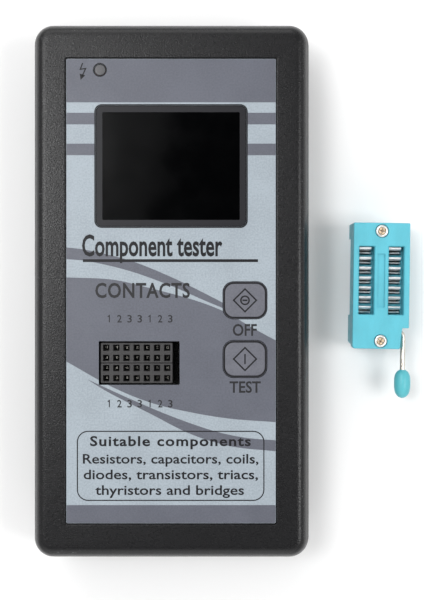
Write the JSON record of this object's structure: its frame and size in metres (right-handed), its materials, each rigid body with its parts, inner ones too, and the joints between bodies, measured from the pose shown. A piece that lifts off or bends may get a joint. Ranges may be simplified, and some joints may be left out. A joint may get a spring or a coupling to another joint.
{
  "type": "electronic component tester",
  "caption": "Handheld component tester in a black case with a display, two keys and a socket block, with its plug-in lever-operated test socket beside it.",
  "frame": {"origin": "centre of the tester's flat back face, which lies on the bench", "axes": "+Z out of the printed face, +Y along the tester towards its display end, +X to the right seen from above"},
  "size_m": [0.0969, 0.1348, 0.025],
  "materials": {
    "case_abs": "black ABS with a fine moulded spark texture",
    "overlay_film": "printed polycarbonate film, satin, pale blue-grey with darker stripes",
    "key_film": "embossed printed film, satin grey",
    "clear_window": "clear polycarbonate with a dark printed border",
    "frosted_lens": "frosted grey",
    "black_connector": "black glass-filled nylon",
    "black_package": "black moulded epoxy",
    "green_board": "green solder mask",
    "red_board": "red solder mask",
    "dark_display": "glossy black glass, switched off",
    "red_lamp": "red diffused resin",
    "tinned_metal": "bright tin plating",
    "steel": "nickel-plated steel",
    "brass_eyelet": "nickel-plated brass, worn at the peened centre",
    "cell_wrap": "printed shrink wrap over a metal can, at the cell's mean density",
    "red_wire": "red PVC insulation",
    "black_wire": "black PVC insulation",
    "turquoise_plastic": "turquoise glass-filled plastic, satin",
    "turquoise_grip": "turquoise moulded grip, satin"
  },
  "bodies": {
    "tester": {"battery_cell": "cell_wrap", "battery_contact_negative": "tinned_metal", "battery_contact_positive": "tinned_metal", "battery_lead_negative": "black_wire", "battery_lead_positive": "red_wire", "battery_spring": "steel", "board_screw_1": "steel", "board_screw_2": "steel", "board_screw_3": "steel", "board_screw_4": "steel", "case_screw_1": "steel", "case_screw_2": "steel", "case_screw_3": "steel", "case_screw_4": "steel", "charge_led": "red_lamp", "charge_lens": "frosted_lens", "charge_socket": "tinned_metal", "chip_socket": "black_connector", "crystal": "tinned_metal", "display_board": "red_board", "display_panel": "dark_display", "display_pin_strip": "black_connector", "display_window": "clear_window", "electrolytic_capacitor": "black_package", "front_cover": "case_abs", "front_overlay": "overlay_film", "lower_test_header": "black_connector", "main_board": "green_board", "microcontroller": "black_package", "off_switch_body": "black_connector", "rear_cover": "case_abs", "test_switch_body": "black_connector", "upper_test_header": "black_connector", "voltage_regulator": "black_package"},
    "battery_door": {"battery_door": "case_abs"},
    "off_key": {"off_key": "key_film", "off_switch_plunger": "black_connector"},
    "test_key": {"test_key": "key_film", "test_switch_plunger": "black_connector"},
    "zif_socket": {"zif_base": "turquoise_plastic", "zif_cover": "turquoise_plastic", "zif_rivet_bottom": "brass_eyelet", "zif_rivet_top": "brass_eyelet", "zif_contact_left_1": "tinned_metal", "zif_contact_left_2": "tinned_metal", "zif_contact_left_3": "tinned_metal", "zif_contact_left_4": "tinned_metal", "zif_contact_left_5": "tinned_metal", "zif_contact_left_6": "tinned_metal", "zif_contact_left_7": "tinned_metal", "zif_contact_right_1": "tinned_metal", "zif_contact_right_2": "tinned_metal", "zif_contact_right_3": "tinned_metal", "zif_contact_right_4": "tinned_metal", "zif_contact_right_5": "tinned_metal", "zif_contact_right_6": "tinned_metal", "zif_contact_right_7": "tinned_metal"},
    "zif_lever": {"zif_lever": "steel", "zif_lever_knob": "turquoise_grip"},
    "zif_slider": {"zif_slider": "turquoise_plastic"}
  },
  "joints": [
    {"name": "off_key_press", "type": "slide", "parent": "tester", "child": "off_key", "axis": [0, 0, -1], "range_m": [0, 0.0003], "stiffness_N_per_m": 500},
    {"name": "test_key_press", "type": "slide", "parent": "tester", "child": "test_key", "axis": [0, 0, -1], "range_m": [0, 0.0003], "stiffness_N_per_m": 500},
    {"name": "battery_door_slide", "type": "slide", "parent": "tester", "child": "battery_door", "axis": [0, -1, 0], "range_m": [0, 0.05]},
    {"name": "zif_lift", "type": "slide", "parent": "tester", "child": "zif_socket", "axis": [0, 0, 1], "range_m": [0, 0.04]},
    {"name": "zif_lever_turn", "type": "hinge", "parent": "zif_socket", "child": "zif_lever", "pos_m": [0.05364, -0.01056, 0.0094], "axis": [-0.9999, 0.014, 0], "range_deg": [0, 90]},
    {"name": "zif_slider_shift", "type": "slide", "parent": "zif_socket", "child": "zif_slider", "axis": [0.014, 0.9999, 0], "range_m": [0, 0.0005]}
  ],
  "couplings": [
    {"joint": "zif_lever_turn", "follows": "zif_slider_shift", "rad_per_m": 3141.5}
  ]
}
